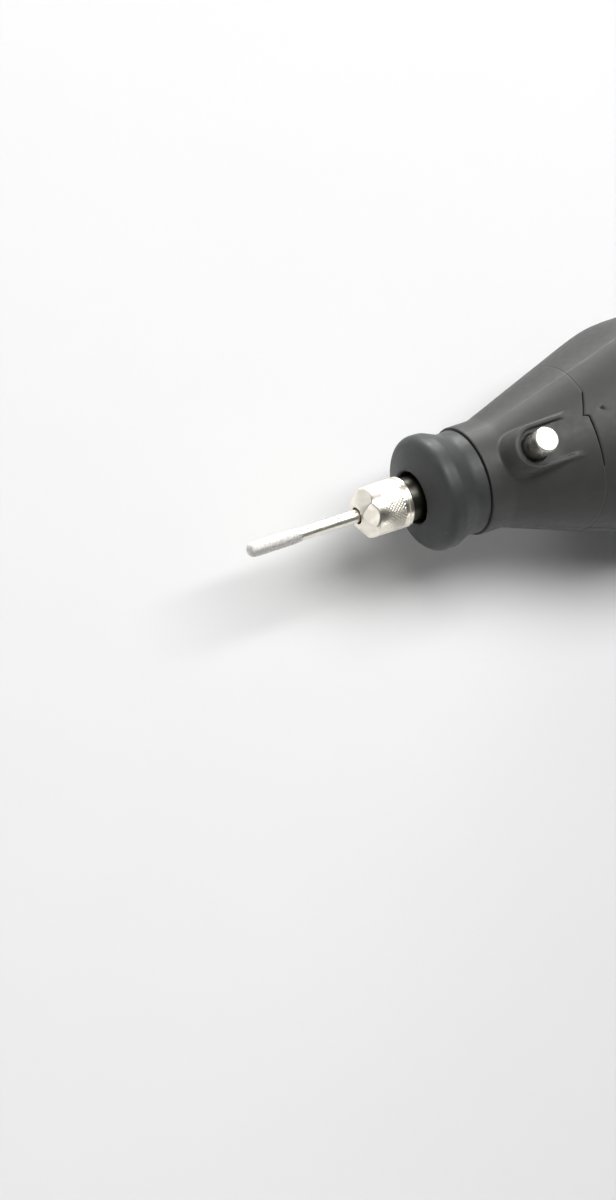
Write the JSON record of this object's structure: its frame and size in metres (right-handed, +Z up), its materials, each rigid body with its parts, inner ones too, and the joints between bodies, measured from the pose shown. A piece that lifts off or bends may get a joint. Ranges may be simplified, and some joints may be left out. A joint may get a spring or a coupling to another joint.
{
  "type": "electric nail drill",
  "caption": "Corded hand-held rotary tool for manicure work: tapered dark housing, screw-on nose cap, collet nut with a diamond burr, press-in spindle lock, slide switch and speed wheel.",
  "frame": {"origin": "middle of the belly pad's underside, which the tool rests on", "axes": "+X along the spindle from the burr to the cord gland, +Z up through the spindle lock pin, the middle plane is y = 0"},
  "size_m": [0.2012, 0.0392, 0.041],
  "materials": {
    "diamond_grit": "nickel-bonded diamond grit, matt and sparkling",
    "burr_steel": "polished stainless steel",
    "nickel_plate": "bright nickel plate, fine knurl",
    "steel": "ground steel",
    "black_cap_plastic": "dark satin-gloss nylon",
    "housing_plastic": "dark grey moulded nylon, fine spark texture",
    "black_plastic": "black moulded plastic",
    "white_plastic": "white nylon",
    "rubber": "soft black rubber",
    "spring_steel": "spring wire",
    "brass": "turned brass",
    "copper": "copper winding, lacquered",
    "magnet": "ferrite magnet",
    "laminations": "stacked steel sheet",
    "carbon": "pressed carbon",
    "zinc_screw": "zinc-plated screw",
    "board_green": "circuit board lacquer",
    "component_black": "component sleeve"
  },
  "bodies": {
    "housing": {"bearing_retainer": "steel", "belly_pad": "rubber", "board_parts": "component_black", "board_screws": "zinc_screw", "brush_caps": "black_plastic", "brush_holders": "brass", "brush_springs": "spring_steel", "carbon_brushes": "carbon", "control_board": "board_green", "cord_gland": "rubber", "front_bearing_outer_race": "steel", "front_bearing_shields": "steel", "front_housing": "housing_plastic", "front_retainer_ring": "spring_steel", "lock_pin_spring": "spring_steel", "lock_spring_seat": "steel", "lower_shell": "housing_plastic", "motor_can": "steel", "motor_end_bell": "black_plastic", "motor_front_bearing": "steel", "motor_magnets": "magnet", "motor_rear_bearing": "steel", "potentiometer": "component_black", "rear_bearing_outer_race": "steel", "rear_bearing_shields": "steel", "rear_cap": "housing_plastic", "retainer_screws": "zinc_screw", "shell_screws": "zinc_screw", "switch_body": "component_black", "upper_shell": "housing_plastic"},
    "rotor": {"spindle": "steel", "collet": "steel", "front_bearing_inner_race": "steel", "rear_bearing_inner_race": "steel", "drive_coupling": "rubber", "cooling_fan": "white_plastic", "motor_shaft": "steel", "armature_core": "laminations", "armature_windings": "copper", "commutator": "copper"},
    "front_bearing_rolling": {"front_bearing_balls": "burr_steel", "front_bearing_cage": "brass"},
    "rear_bearing_rolling": {"rear_bearing_balls": "burr_steel", "rear_bearing_cage": "brass"},
    "collet_nut": {"collet_nut": "nickel_plate"},
    "burr": {"burr_head": "diamond_grit", "burr_shank": "burr_steel"},
    "nose_cap": {"nose_cap": "black_cap_plastic"},
    "lock_pin": {"lock_pin": "nickel_plate"},
    "switch_button": {"switch_button": "black_plastic"},
    "speed_dial": {"speed_dial": "black_plastic", "dial_axle": "brass"}
  },
  "joints": [
    {"name": "spindle_spin", "type": "hinge", "parent": "housing", "child": "rotor", "pos_m": [-0.078, 0, 0.0204], "axis": [1, 0, 0], "continuous": true},
    {"name": "front_bearing_roll", "type": "hinge", "parent": "housing", "child": "front_bearing_rolling", "pos_m": [-0.078, 0, 0.0204], "axis": [1, 0, 0], "continuous": true},
    {"name": "rear_bearing_roll", "type": "hinge", "parent": "housing", "child": "rear_bearing_rolling", "pos_m": [-0.078, 0, 0.0204], "axis": [1, 0, 0], "continuous": true},
    {"name": "collet_nut_turn", "type": "hinge", "parent": "rotor", "child": "collet_nut", "pos_m": [-0.095, 0, 0.0204], "axis": [1, 0, 0], "range_deg": [0, 360]},
    {"name": "burr_pull", "type": "slide", "parent": "rotor", "child": "burr", "axis": [-1, 0, 0], "range_m": [0, 0.032]},
    {"name": "nose_cap_turn", "type": "hinge", "parent": "housing", "child": "nose_cap", "pos_m": [-0.083, 0, 0.0204], "axis": [1, 0, 0], "range_deg": [0, 360]},
    {"name": "lock_pin_press", "type": "slide", "parent": "housing", "child": "lock_pin", "axis": [0, 0, -1], "range_m": [0, 0.0018], "stiffness_N_per_m": 600, "springref_m": -0.0005, "deforming": ["lock_pin_spring"]},
    {"name": "power_switch_slide", "type": "slide", "parent": "housing", "child": "switch_button", "axis": [1, 0, 0], "range_m": [0, 0.004]},
    {"name": "speed_dial_turn", "type": "hinge", "parent": "housing", "child": "speed_dial", "pos_m": [0.05, 0, 0.033], "axis": [0, 1, 0], "range_deg": [0, 270]}
  ],
  "couplings": [
    {"joint": "front_bearing_roll", "follows": "spindle_spin", "ratio": 0.42818},
    {"joint": "rear_bearing_roll", "follows": "spindle_spin", "ratio": 0.42818}
  ]
}
